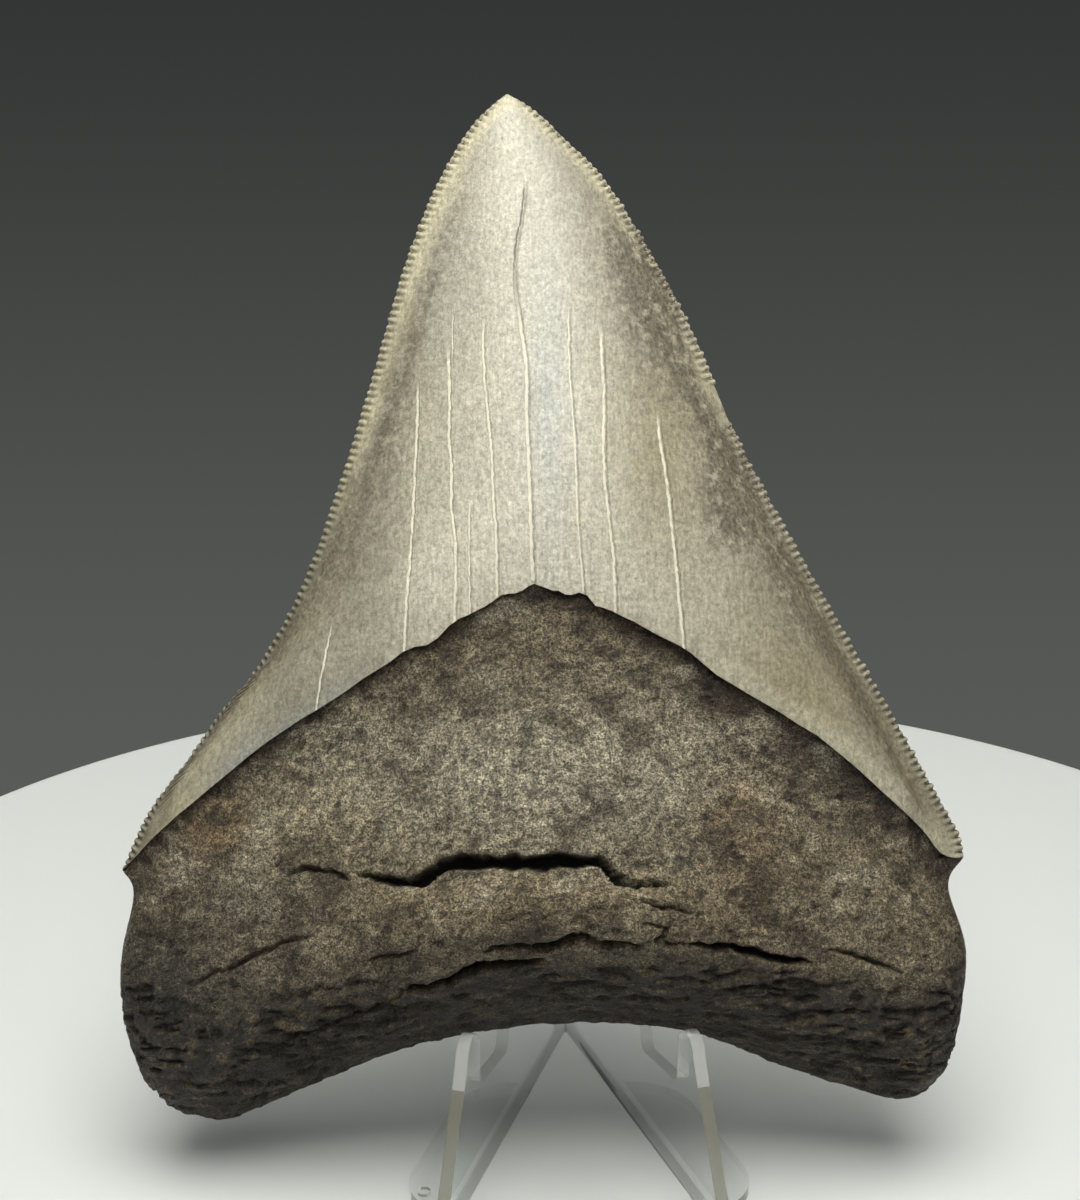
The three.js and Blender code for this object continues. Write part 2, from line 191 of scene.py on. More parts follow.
# How fine the grids are. The crown's outer columns on each side are its rims, finer towards the cutting edge.
CROWN_ROWS = 680
CROWN_FRONT_COLUMNS = 96
CROWN_BACK_COLUMNS = 48
RIM_COLUMNS = 16
RIM_SHARE = 0.13
FINE_STEPS = 12
STEP_GROWTH = 1.29
MIDDLE_EVENNESS = 0.42
ROOT_COLUMNS = 296
ROOT_ROWS = 160
EDGE_SAMPLES = 2600
LATTICE_SIZE = 64


def smooth(x, a, b):
    t = np.clip((x - a) / (b - a), 0, 1)
    return t * t * (3 - 2 * t)


def fall(x, a, b):
    return 1 - smooth(x, a, b)


def band(x, at, spread):
    return np.exp(-(((x - at) / spread) ** 2))


def spot(x, z, at, spread):
    return np.exp(-(((x - at[0]) / spread[0]) ** 2) - ((z - at[1]) / spread[1]) ** 2)


class Line:
    """A smooth line through points, read by its share of length."""

    def __init__(self, points):
        p = np.array(points, float)
        n = len(p)
        t = np.linspace(0, n - 1, 400 * (n - 1) + 1)
        i = np.minimum(t.astype(int), n - 2)
        w = (t - i)[:, None]
        a, b = p[np.maximum(i - 1, 0)], p[i]
        c, d = p[i + 1], p[np.minimum(i + 2, n - 1)]
        v0, v1 = (c - a) / 2, (d - b) / 2
        self.p = (2 * b - 2 * c + v0 + v1) * w**3 + (-3 * b + 3 * c - 2 * v0 - v1) * w**2 + v0 * w + b
        step = np.hypot(*np.diff(self.p, axis=0).T)
        self.s = np.r_[0, np.cumsum(step)]
        self.length = self.s[-1]
        self.s /= self.length

    def at(self, share):
        return np.stack([np.interp(share, self.s, self.p[:, 0]), np.interp(share, self.s, self.p[:, 1])], -1)

    def tangent(self, share):
        d = self.at(np.clip(share + 1e-3, 0, 1)) - self.at(np.clip(share - 1e-3, 0, 1))
        return d / np.linalg.norm(d, axis=-1, keepdims=True)


left_edge, right_edge = Line(LEFT_EDGE), Line(RIGHT_EDGE)
front_end, back_end = Line(FRONT_ENAMEL_END), Line(BACK_ENAMEL_END)
left_side, right_side, arch = Line(LEFT_ROOT_SIDE), Line(RIGHT_ROOT_SIDE), Line(ROOT_ARCH)

rng = np.random.default_rng(11)
LATTICE = rng.uniform(-1, 1, (LATTICE_SIZE, LATTICE_SIZE, LATTICE_SIZE))


def noise(p, size, seed=0):
    """Smooth noise in -1 to 1, with lumps about size across. p holds points, size one or three numbers."""
    q = p / np.array(size, float) + 17.3 * seed + 100
    i = np.floor(q).astype(int)
    f = q - i
    f = f * f * f * (f * (6 * f - 15) + 10)
    out = 0
    for dx in (0, 1):
        for dy in (0, 1):
            for dz in (0, 1):
                w = (f[..., 0] if dx else 1 - f[..., 0]) * (f[..., 1] if dy else 1 - f[..., 1])
                w = w * (f[..., 2] if dz else 1 - f[..., 2])
                corner = (i + (dx, dy, dz)) % LATTICE_SIZE
                out = out + w * LATTICE[corner[..., 0], corner[..., 1], corner[..., 2]]
    return out


def rough(p, size, seed=0, octaves=4):
    """Noise with finer noise on it, each octave half as large and weaker."""
    size = np.array(size, float)
    total, weight = 0, 0
    for k in range(octaves):
        total = total + noise(p, size / 2**k, seed + k) / 1.7**k
        weight += 1 / 1.7**k
    return total / weight


# Tooth. In its functions side is -1 for the front and 1 for the back, u is the share across from left to
# right, and grids hold points in rows from the top down.
def bulge_share(u, power, root):
    """How much of the full depth a cross-section has at each share u."""
    return (1 - np.abs(2 * u[None] - 1) ** power) ** root


def enamel_end(side):
    return front_end if side < 0 else back_end


def above_front_end(x, z):
    """Height above the smooth line where the front enamel ends."""
    rim = front_end.at(np.linspace(0, 1, 400))
    return z - np.interp(x, rim[:, 0], rim[:, 1])


def blade(u, v, side, ragged=0):
    """Points of the blade. v runs from 0 at the tip to 1 at the enamel's end, which strays up by ragged."""
    end = enamel_end(side)
    chord = end.p[0] + (end.p[-1] - end.p[0]) * u[:, None]
    lift = (end.at(u) - chord)[None]
    a, b = left_edge.at(v)[:, None], right_edge.at(v)[:, None]
    uu, vv = u[None, :, None], v[:, None, None]
    flat = a * (1 - uu) + b * uu + lift * vv**1.5
    flat[..., 1] += np.asarray(ragged) * smooth(vv[..., 0], 0.93, 1.0)
    edge = TIP_SET_BACK * (1 - vv[..., 0]) ** 2 - EDGE_BOW * np.sin(np.pi * vv[..., 0])
    swell = (1 - (1 - vv[..., 0]) ** 1.5) * bulge_share(u, 2.2, 0.85)
    depth = -BLADE_FRONT_DEPTH if side < 0 else BLADE_BACK_DEPTH
    return np.stack([flat[..., 0], edge + depth * swell, flat[..., 1]], -1)


def ledge(x, z):
    """How far the swelling under the front's main crack stands out."""
    across = smooth(x, -24, -14) * fall(x, 12, 22)
    top = 29.3 - 0.008 * x * x
    return LEDGE_HEIGHT * across * smooth(top - z, 0, 2.4) * fall(top - z, 5, 9.5)


def root(u, w, side):
    """Points of the root. w is 0 at the enamel's end, 1 at the arch, and below 0 under the enamel."""
    end = enamel_end(side)
    inner = np.clip(w, 0, 1)
    uu, ww = u[None, :, None], inner[:, None, None]
    corner = (end.p[0] + (end.p[-1] - end.p[0]) * uu) * (1 - ww)
    corner = corner + (arch.p[0] + (arch.p[-1] - arch.p[0]) * uu) * ww
    rows = end.at(u)[None] * (1 - ww) + arch.at(u)[None] * ww
    columns = left_side.at(inner)[:, None] * (1 - uu) + right_side.at(inner)[:, None] * uu
    flat = rows + columns - corner
    tuck = np.clip(-w, 0, 1)[:, None]
    inside = smooth(np.minimum(u, 1 - u), 0.05, 0.16)[None]
    flat[..., 1] += tuck * TUCK_UP * inside
    sides = bulge_share(u, 6, 0.5)
    step = ENAMEL_STEP * sides * (1 + TUCK_IN * tuck * inside)
    neck = blade(u, np.array([1.0]), side)[..., 1] - side * step
    body = (root_front(u, inner, flat) if side < 0 else root_back(inner)) * sides
    blend = smooth(inner, 0, 0.3)[:, None]
    return np.stack([flat[..., 0], neck * (1 - blend) + body * blend, flat[..., 1]], -1)


def rounded_bottom(inner, start):
    """Falls from 1 to 0 in a quarter circle between start and the arch."""
    q = np.clip((inner[:, None] - start) / (1 - start), 0, 1)
    return np.sqrt(np.clip(1 - q * q, 0, 1))


def root_front(u, inner, flat):
    """Depth of the root's front: a neck, then the bulge that overhangs the arch, less deep at the lobes."""
    swell = smooth(inner, 0.1, 0.66) - 0.12 * smooth(inner, 0.78, 1)
    middle = ROOT_NECK_DEPTH + (ROOT_BULGE_DEPTH - ROOT_NECK_DEPTH) * swell[:, None]
    share = LOBE_DEPTH_SHARE + (1 - LOBE_DEPTH_SHARE) * band(u, 0.5, 0.24)[None]
    bottom = rounded_bottom(inner, 0.66)
    return ARCH_DEPTH * (1 - bottom) - middle * share * bottom - ledge(flat[..., 0], flat[..., 1])


def root_back(inner):
    return ARCH_DEPTH + (ROOT_BACK_DEPTH - ARCH_DEPTH) * rounded_bottom(inner, 0.8)


def outward(grid, side):
    """Normals of a grid, kept pointing away from the tooth's middle plane."""
    down, across = np.gradient(grid, axis=0), np.gradient(grid, axis=1)
    n = np.cross(down, across) * -side
    n /= np.maximum(np.linalg.norm(n, axis=-1, keepdims=True), 1e-9)
    n[(n[..., 1] * side < 0) & (np.abs(n[..., 1]) > 0.5)] *= -1
    return n


def distance_to(flat, points):
    """Distance of each flat point to a line of points, and its share along the line."""
    line = Line(points)
    p = line.p[:: max(1, len(line.p) // 90)]
    best = np.full(flat.shape[:-1], 1e9)
    share = np.zeros(flat.shape[:-1])
    for k in range(len(p) - 1):
        a, d = p[k], p[k + 1] - p[k]
        t = np.clip(((flat - a) @ d) / (d @ d), 0, 1)
        r = np.linalg.norm(flat - a - t[..., None] * d, axis=-1)
        hit = r < best
        best[hit] = r[hit]
        share[hit] = ((k + t) / (len(p) - 1))[hit]
    return best, share


def to_row(p):
    """From the tooth's own frame to the row frame in metres."""
    c, s = math.cos(math.radians(TOOTH_LEAN)), math.sin(math.radians(TOOTH_LEAN))
    p = p * TOOTH_SCALE
    across = p[..., 0] + (SPINE[0] - TOOTH_LEFT_OF_SPINE)
    back = p[..., 1] * c + p[..., 2] * s + (SPINE[1] - TOOTH_AHEAD_OF_SPINE)
    up = p[..., 2] * c - p[..., 1] * s + TOOTH_ABOVE_FLOOR
    return np.stack([across, back, up], -1) / 1000


def give(mesh, name, kind, domain, values):
    """Gives a mesh a named value for each point or face corner, which its material reads."""
    key = {"FLOAT_COLOR": "color", "FLOAT_VECTOR": "vector", "FLOAT": "value"}[kind]
    mesh.attributes.new(name, kind, domain).data.foreach_set(key, values.astype(np.float32).reshape(-1))


def closed_mesh(name, grids, colours, fields):
    """One closed mesh from a front and a back grid that share their side columns. Rims left open are filled.
    colours, and each of the named fields, hold the front's values and then the back's."""
    quads, count = [], 0
    for grid, flip in zip(grids, (True, False)):
        ids = count + np.arange(grid.shape[0] * grid.shape[1]).reshape(grid.shape[:2])
        q = np.stack([ids[:-1, :-1], ids[:-1, 1:], ids[1:, 1:], ids[1:, :-1]], -1).reshape(-1, 4)
        quads.append(q[:, ::-1] if flip else q)
        count += ids.size
    quads = np.concatenate(quads)
    points = np.concatenate([grid.reshape(-1, 3) for grid in grids])
    tint = np.concatenate([colour.reshape(-1, 3) for colour in colours])
    mesh = bpy.data.meshes.new(name)
    mesh.vertices.add(count)
    mesh.vertices.foreach_set("co", to_row(points).astype(np.float32).reshape(-1))
    mesh.loops.add(quads.size)
    mesh.loops.foreach_set("vertex_index", quads.reshape(-1).astype(np.int32))
    mesh.polygons.add(len(quads))
    mesh.polygons.foreach_set("loop_start", np.arange(0, quads.size, 4, dtype=np.int32))
    give(mesh, "tint", "FLOAT_COLOR", "POINT", np.concatenate([tint, np.ones((count, 1))], 1))
    give(mesh, "place", "FLOAT_VECTOR", "POINT", points)
    for field, pair in fields.items():
        give(mesh, field, "FLOAT", "POINT", np.concatenate([values.reshape(-1) for values in pair]))
    mesh.update()
    mesh.validate()
    bm = bmesh.new()
    bm.from_mesh(mesh)
    bmesh.ops.remove_doubles(bm, verts=bm.verts, dist=1e-6)
    rim = [e for e in bm.edges if e.is_boundary]
    if rim:
        bmesh.ops.holes_fill(bm, edges=rim, sides=0)
    bmesh.ops.recalc_face_normals(bm, faces=bm.faces)
    bm.to_mesh(mesh)
    bm.free()
    mesh.shade_smooth()
    piece = bpy.data.objects.new(name, mesh)
    bpy.context.collection.objects.link(piece)
    return piece


def srgb(r, g, b):
    c = np.array([r, g, b]) / 255
    return np.where(c <= 0.04045, c / 12.92, ((c + 0.055) / 1.055) ** 2.4)


def painted(shape, base, coats):
    """Colours of a grid: a base, then coats in turn, each a colour and its amount for each point."""
    c = np.ones(shape)[..., None] * srgb(*base)
    for colour, amount in coats:
        a = np.clip(amount, 0, 1)[..., None]
        c = c * (1 - a) + srgb(*colour) * a
    return c


# Crown
def near_edge(g, line):
    """For each point of a grid: its distance to a cutting edge, and the share along the edge."""
    samples = np.linspace(0, 1, EDGE_SAMPLES)
    p = line.at(samples)
    flat = g[..., [0, 2]].reshape(-1, 2)
    best = np.empty(len(flat), int)
    for k in range(0, len(flat), 500):
        d = flat[k : k + 500, None] - p[None]
        best[k : k + 500] = np.argmin((d * d).sum(-1), axis=1)
    reach = np.linalg.norm(flat - p[best], axis=-1)
    return reach.reshape(g.shape[:2]), samples[best].reshape(g.shape[:2])


def uneven(share, seed):
    """How much one serration differs from the next, by the share along an edge."""
    p = np.stack([share * 400, share * 0, share * 0], -1)
    return noise(p, 3.4, seed)


def serrate(g, side, edge, out, worn, seed):
    """Cuts one edge's serrations into the grid of its rim, and returns how strongly the notches are darkened,
    partly as painted shade and partly as dirt.
    out turns the edge's direction into the way out of the blade."""
    reach, share = near_edge(g, edge)
    phase = np.abs(np.sin(np.pi * share * round(edge.length / SERRATION_PITCH))) ** 0.7
    keep = 1 - ((share > worn[0]) & (share < worn[1]))
    size = SERRATION_HEIGHT * (0.75 + 0.4 * uneven(share, seed))
    tall = size * keep * (0.45 + 0.55 * smooth(share, 0.03, 0.2)) * smooth(share, 0, 0.02)
    way = edge.tangent(share.reshape(-1)).reshape(*share.shape, 2)
    push = phase * tall * band(reach, 0, 0.5)
    g[..., 0] += way[..., 1] * out * push
    g[..., 2] -= way[..., 0] * out * push
    shown = keep * smooth(share, 0, 0.05)
    groove = band(reach, 0, 0.85) * (1 - band(reach, 0, 0.1))
    g[..., 1] -= side * (1 - phase) * groove * NOTCH_GROOVE * shown
    return smooth(1 - phase, 0.04, 0.34) * band(reach, 0, 0.7) * shown


def rims(side):
    """Shares across of the left rim's columns, and of the right rim's counted from its own edge. The front's
    left rim has more columns."""
    right = RIM_SHARE * (1 - np.cos(np.pi / 2 * np.linspace(0, 1, RIM_COLUMNS))) ** 1.2
    if side > 0:
        return right, right
    left = np.cumsum(np.r_[0, np.ones(FINE_STEPS), STEP_GROWTH ** np.arange(1, FINE_STEPS + 1)])
    return left * (RIM_SHARE / left[-1]), right


def ragged_end(u, side):
    """How far the enamel's end strays up from its smooth line."""
    x = front_end.at(u)[:, 0]
    along = np.stack([x, x * 0, x * 0], -1)
    ragged = 0.16 * noise(along, 1.5, 5) + 0.14 * noise(along, 0.7, 6)
    if side < 0:
        ragged += np.interp(x, *np.array(END_STEPS, float).T)
    return ragged * np.minimum(1, 6 * np.minimum(u, 1 - u))


def crown_grid(side, columns):
    """The blade's points, each column's share in from the nearer edge, and how strongly the notches are
    darkened, partly by painted shade and partly by dirt.
    """
    v = np.linspace(0, 1, CROWN_ROWS)
    v[0] = 0.0012
    left_rim, right_rim = rims(side)
    t = np.linspace(-1, 1, columns - len(left_rim) - len(right_rim) + 2)
    spread = MIDDLE_EVENNESS * t + (1 - MIDDLE_EVENNESS) * t * np.abs(t) ** 1.4
    u = np.r_[left_rim[:-1], 0.5 + (0.5 - RIM_SHARE) * spread, 1 - right_rim[-2::-1]]
    g = blade(u, v, side, ragged_end(u, side))
    notch = np.zeros(g.shape[:2])
    left, right = slice(0, len(left_rim)), slice(-len(right_rim), None)
    notch[:, left] = serrate(g[:, left], side, left_edge, 1, NOT_WORN, 28)
    notch[:, right] = serrate(g[:, right], side, right_edge, -1, WORN_STRETCH, 26)
    return g, np.minimum(u, 1 - u), notch


def from_edges(g):
    """Each point's distance across from the left and from the right cutting edge."""
    x = g[..., 0]
    return x - g[:, :1, 0], g[:, -1:, 0] - x


def crown_mottle(g, side):
    """How strongly brown mottling shows at each point."""
    if side > 0:
        return 0.35 + 0.3 * smooth(rough(g, 14, 3), 0, 0.5)
    x, z = g[..., 0], g[..., 2]
    m = 0.16 + 0 * x
    for strength, at, spread in MOTTLE_SPOTS:
        m = m + strength * spot(x, z, at, spread)
    for distance, bands in zip(from_edges(g), (LEFT_MOTTLE_BANDS, RIGHT_MOTTLE_BANDS)):
        for strength, at, spread, comes, goes in bands:
            m = m + strength * band(distance, at, spread) * smooth(z, *comes) * fall(z, *goes)
    return np.clip(m, 0, 1.1)


def crown_colour(g, side, notch):
    x, z = g[..., 0], g[..., 2]
    left, right = from_edges(g)
    share = left / np.maximum(left + right, 0.5)
    coats = [
        ((132, 126, 107), 0.45 + 0.9 * rough(g, (9, 9, 16), 1)),
        # Painted light: each face is lighter along its middle, where light falls on its curve, and more so
        # higher up.
        ((214, 211, 194), 0.8 * band(share, 0.48, 0.2) * smooth(z, 40, 62)),
        ((196, 190, 170), 0.45 * band(share, 0.5, 0.26)),
    ]
    if side < 0:
        base = above_front_end(x, z)
        stain = smooth(rough(g, (1.3, 2, 6), 110, 3), -0.2, 0.3)
        coats += [
            # The bluish middle and its neighbour
            ((190, 193, 186), 0.7 * spot(x, z, (1.0, 80), (2.6, 18))),
            ((166, 164, 150), 0.5 * spot(x, z, (-11, 92), (2.2, 9))),
            # Pale rims towards the tip
            ((212, 204, 172), 0.75 * band(left, 1.3, 1.3) * smooth(z, 60, 80)),
            ((204, 196, 166), 0.6 * band(right, 1.1, 1.1) * smooth(z, 76, 86)),
            # Olive and grey patches lower down
            ((134, 126, 94), 0.75 * spot(x, z, (28, 47), (8, 10))),
            ((132, 122, 86), 0.6 * band(right, 3.5, 2) * fall(z, 50, 60)),
            ((148, 152, 146), 0.7 * band(base, 0, 2.4) * fall(x, -24, -16) * smooth(x, -40, -33)),
            ((168, 162, 130), 0.5 * band(left, 6.5, 2.2) * fall(z, 52, 64)),
            ((112, 110, 92), 0.6 * spot(x, z, (-28, 50), (3.5, 9))),
            ((144, 136, 108), 0.85 * spot(x, z, (13.5, 75), (5.5, 12))),
            ((126, 122, 102), 0.45 * spot(x, z, (-19.5, 58), (4.5, 9))),
            ((190, 188, 166), 0.5 * band(base, 0, 1.2) * smooth(x, 10, 20)),
            # Brown stains along both edges, and the pale line over the right half's end
            ((98, 84, 54), 0.85 * stain * band(right, 4.6, 2.6) * fall(z, 60, 76) * smooth(z, 31, 37)),
            ((112, 102, 78), 0.6 * stain * band(left, 3.6, 2.4) * fall(z, 84, 98)),
            ((188, 182, 160), 0.5 * band(base, 1.5, 1.4) * smooth(x, 14, 24)),
        ]
    coats += [
        ((178, 172, 146), 0.5 * band(np.minimum(left, right), 0, 0.9)),
        # Painted shade, with some dirt, darkens the notches between the serrations.
        ((24, 22, 15), notch * (0.3 + 0.65 * fall(z, 48, 80))),
    ]
    return painted(x.shape, (166, 160, 139), coats)


def crown_piece():
    front, edge, notch = crown_grid(-1, CROWN_FRONT_COLUMNS)
    back, edge_behind, notch_behind = crown_grid(1, CROWN_BACK_COLUMNS)
    for column in (0, -1):
        back[:, column] = front[:, column]
    front[..., 1] -= 0.12 * rough(front, (7, 7, 12), 30, 3) * smooth(edge, 0, 0.08)[None]
    grids, colours = [], []
    for grid, side, near, dark, step_in in (
        (front, -1, edge, notch, 1.6),
        (back, 1, edge_behind, notch_behind, -1.2),
    ):
        colour = crown_colour(grid, side, dark)
        # One more row turns the enamel's end in towards the root. Its colour, a third of the row above, is a
        # painted shade under the enamel's step.
        inner = grid[-1:].copy()
        inner[..., 1] += step_in * smooth(near, 0, 0.05)
        inner[..., 2] += 0.25 * smooth(near, 0, 0.05)
        grids.append(np.concatenate([grid, inner]))
        colours.append(np.concatenate([colour, colour[-1:] * 0.3]))
    mottle = [crown_mottle(grid, side) for grid, side in zip(grids, (-1, 1))]
    return closed_mesh("crown", grids, colours, {"mottle": mottle})


# Root
def root_cracks(g, flat):
    """How deep the cracks cut at each point of the root's front, and how far their lips stand out."""
    wobble = np.stack([noise(g, 1.6, 70), noise(g, 1.3, 71)], -1) * 0.32
    depth, lips = np.zeros(flat.shape[:2]), 0
    for points, width, deep in ROOT_CRACKS:
        r, share = distance_to(flat + wobble, points)
        taper = np.sin(np.pi * np.clip(share, 0.0, 1.0)) ** 0.5
        half = width / 2 * np.maximum(taper, 0.15) * (1 + 0.35 * noise(g, 2.1, 77))
        cut = fall(r, half * 0.55, half * 1.35)
        depth = np.maximum(depth, deep * cut * np.maximum(taper, 0.1))
        lips = lips + 0.16 * band(r, half * 1.9, 0.9) * taper
    return depth, lips


def root_relief(g, side):
    """How far each point moves out along its normal, for lumps, grain, pits and cracks. Then what the colours
    need: the cracks' depth, the streaks, the pits, and how much a point belongs to the rough underside."""
    x, z = g[..., 0], g[..., 2]
    height = z - np.interp(x, arch.p[:, 0], arch.p[:, 1]) - 3.5 * smooth(np.abs(x), 12, 30)
    low = fall(height, 7.5, 13)
    move = 0.4 * rough(g, 9, 40, 3) + 0.26 * rough(g, 2.6, 44, 3) + 0.24 * rough(g, 0.95, 48, 2)
    streak = rough(g, (3.4, 1.6, 0.75), 52, 3)
    move -= (0.12 + 0.4 * low) * smooth(streak, 0.08, 0.4)
    pits = rough(g, 1.15, 60, 2)
    move -= 0.2 * smooth(pits, 0.3, 0.55)
    depth = np.zeros(x.shape)
    if side < 0:
        depth, lips = root_cracks(g, np.stack([x, z], -1))
        hair = np.abs(rough(g, (7, 7, 3.4), 80, 3))
        move += lips - 0.22 * fall(hair, 0, 0.035) * smooth(30 - z, 0, 4)
    return move - depth, depth, streak, pits, low


def root_colour(g, side, depth, streak, pits, low):
    x, z = g[..., 0], g[..., 2]
    big = rough(g, (10, 10, 7), 90)
    fine = rough(g, 1.3, 94, 3)
    mid = rough(g, (4.2, 3, 3.2), 98, 3)
    scratch = rough(g, (1.7, 0.7, 0.5), 101, 2)
    coats = [
        ((124, 111, 87), 0.5 + big),
        # Painted shade: the underside is darkened where it turns down, less on the back.
        ((19, 16, 9), (0.93 if side < 0 else 0.6) * low),
    ]
    if side < 0:
        base = above_front_end(x, z)
        coats += [
            # The pale middle, painted light where the top light falls on the bulge, and the dark line under
            # the enamel: a brown band on the right, and right under the enamel's end a painted shadow of its
            # step
            ((196, 188, 164), 0.85 * spot(x, z, (0, 39.5), (24, 8))),
            ((64, 50, 36), 0.85 * band(base, 0, 5.2) * smooth(x, 8, 20)),
            ((184, 171, 140), 0.7 * spot(x, z, (-25, 33), (8, 5))),
            ((56, 47, 36), 0.85 * band(base, 0, 2.4)),
            # Rusty patches on both sides, and the ledge under the main crack: partly its own tan, partly
            # painted light on its upper face
            ((142, 108, 62), 0.65 * spot(x, z, (-36.5, 33), (4.5, 3.4)) * (0.75 + big)),
            ((140, 108, 66), 0.5 * spot(x, z, (22, 36), (4, 9)) * (0.75 + 1.5 * big)),
            ((158, 140, 106), 0.55 * spot(x, z, (0, 25.5), (14, 2.6))),
            # The grey left lobe, the lower part darkened as painted shade where it turns down, and pale
            # scratches on the underside
            ((56, 57, 52), 0.8 * spot(x, z, (-41, 13), (9, 12))),
            ((84, 84, 76), 0.45 * spot(x, z, (-31, 25), (8, 4))),
            ((40, 35, 26), 0.8 * fall(z, 9, 24)),
            ((118, 102, 72), 0.6 * low * smooth(scratch, 0.08, 0.42)),
            # The tan chip by the second row of cracks
            ((150, 122, 92), 0.8 * spot(x, z, (14.6, 22.2), (1.4, 0.9))),
        ]
    coats += [
        ((70, 59, 44), 0.7 * smooth(mid, 0.03, 0.42) * (1 - low)),
        ((190, 181, 156), 0.5 * smooth(-mid, 0.1, 0.5) * (1 - low) * smooth(z, 18, 28)),
        ((172, 160, 130), 0.25 * smooth(fine, 0.1, 0.45) * (1 - 0.7 * low)),
        ((50, 44, 34), 0.28 * smooth(-fine, 0.1, 0.45)),
        # Painted shade: darker in the hollows of the streaks and the pits, and near black deep in the cracks.
        ((30, 26, 22), 0.8 * smooth(streak, 0.12, 0.45) * (0.35 + 0.65 * low)),
        ((34, 28, 22), 0.5 * smooth(pits, 0.3, 0.55)),
        ((8, 7, 6), 1.2 * smooth(depth, 0.3, 1.6)),
    ]
    return painted(x.shape, (152, 139, 113), coats)


def root_piece():
    even = np.linspace(0, 1, ROOT_COLUMNS)
    u = 0.45 * (1 - np.cos(np.pi * even)) / 2 + 0.55 * even
    down = np.linspace(0, 1, ROOT_ROWS)
    w = np.r_[-0.05, -0.02, 0.4 * np.sin(np.pi / 2 * down) + 0.6 * down]
    # The relief fades out at the sides and the arch, which both grids share, and under the enamel.
    near_side = np.minimum(1, np.minimum(u, 1 - u) / 0.012)[None]
    fade = near_side * smooth(1 - w, 0, 0.012)[:, None] * smooth(w, -0.02, 0.004)[:, None]
    grids, colours = [], []
    for side in (-1, 1):
        g = root(u, w, side)
        move, *marks = root_relief(g, side)
        colours.append(root_colour(g, side, *marks))
        grids.append(g + outward(g, side) * (move * fade)[..., None])
    front, back = grids
    back[-1] = front[-1]
    back[:, 0], back[:, -1] = front[:, 0], front[:, -1]
    return closed_mesh("root", grids, colours, {})


# Easel
def arc(centre, radius, a, b, count=14):
    t = np.radians(np.linspace(a, b, count))
    return [(centre[0] + radius * math.cos(k), centre[1] + radius * math.sin(k)) for k in t]


def circle(centre, radius, count):
    return arc(centre, radius, 0, 360 - 360 / count, count)


def wing_outline():
    """A wing's side view, from the spine's foot round the finger, the notch and the arm."""
    points = [(0, 0), (WING_LENGTH, 0), FRONT_BEND]
    points += arc(FINGER_CENTRE, FINGER_RADIUS, 0, 180)
    points += arc((SHELF_FRONT[0] - NOTCH_FILLET, SHELF_FRONT[1] + NOTCH_FILLET), NOTCH_FILLET, 0, -90, 6)
    points += arc((SHELF_BACK[0] + NOTCH_FILLET, SHELF_BACK[1] + NOTCH_FILLET), NOTCH_FILLET, -90, -180, 6)
    corner = (ARM_FRONT_TOP[0] - ARM_CORNER_SET_BACK - ARM_CORNER, ARM_HEIGHT - ARM_CORNER)
    return points + [ARM_FRONT_TOP] + arc(corner, ARM_CORNER, 0, 90, 10)[1:] + [(0, ARM_HEIGHT)]


def foot_outline():
    points = arc((FOOT_BACK + FOOT_WIDTH, 0), FOOT_WIDTH, 180, 90)
    return points + arc((FOOT_FRONT - FOOT_WIDTH, 0), FOOT_WIDTH, 90, 0)


def prism(outline, low, high, upright=False):
    """A flat outline made into a solid between two levels. An upright one stands across y."""
    bm = bmesh.new()
    rings = []
    for level in (low, high):
        rings.append([bm.verts.new((x, level, y) if upright else (x, y, level)) for x, y in outline])
        bm.faces.new(rings[-1])
    for i in range(len(outline)):
        j = (i + 1) % len(outline)
        bm.faces.new((rings[0][i], rings[0][j], rings[1][j], rings[1][i]))
    bmesh.ops.recalc_face_normals(bm, faces=bm.faces)
    mesh = bpy.data.meshes.new("part")
    bm.to_mesh(mesh)
    bm.free()
    part = bpy.data.objects.new("part", mesh)
    bpy.context.collection.objects.link(part)
    return part


def joined(base, others, operation="UNION"):
    for other in others:
        modifier = base.modifiers.new("join", "BOOLEAN")
        modifier.operation = operation
        modifier.solver = "EXACT"
        modifier.object = other
        with bpy.context.temp_override(object=base, active_object=base):
            bpy.ops.object.modifier_apply(modifier=modifier.name)
        bpy.data.objects.remove(other)
    return base


def wing_direction(side):
    """The way a wing runs from the spine. side is -1 for the left wing and 1 for the right one."""
    return math.radians(EASEL_TURN - 90 + side * WING_ANGLE)


def turned(part, angle):
    c, s = math.cos(angle), math.sin(angle)
    for v in part.data.vertices:
        x, y, z = v.co
        v.co = (x * c - y * s, x * s + y * c, z)
    return part


# Looks of the easel's faces: colour, and how much they cover what is behind them. The plates' narrow edges
# look denser than their faces, the fronts of the fingers are a pale painted highlight, and the wings'
# undersides a grey painted shade where they stand on the floor.
CLEAR_FACE = ((0.95, 0.97, 0.96), 0.09)
# Painted shade: the wings' undersides, where they stand on the floor, are grey.
UNDER_WING_SHADE = ((0.5, 0.52, 0.47), 0.38)
NARROW_EDGE = ((0.66, 0.68, 0.64), 0.5)
FOOT_RIM = ((0.8, 0.82, 0.79), 0.22)
# Painted highlight: the fingers' tops and fronts are pale.
FINGER_TOP_HIGHLIGHT = ((0.86, 0.86, 0.82), 0.6)
WING_FRONT = ((0.24, 0.24, 0.19), 0.8)
# A face counts as facing a way when its normal has more than this share along it.
FACING = 0.8
# How far from the spine the fingers' and the wings' own fronts begin.
FINGER_FROM = 38.5
WING_FRONT_FROM = 42


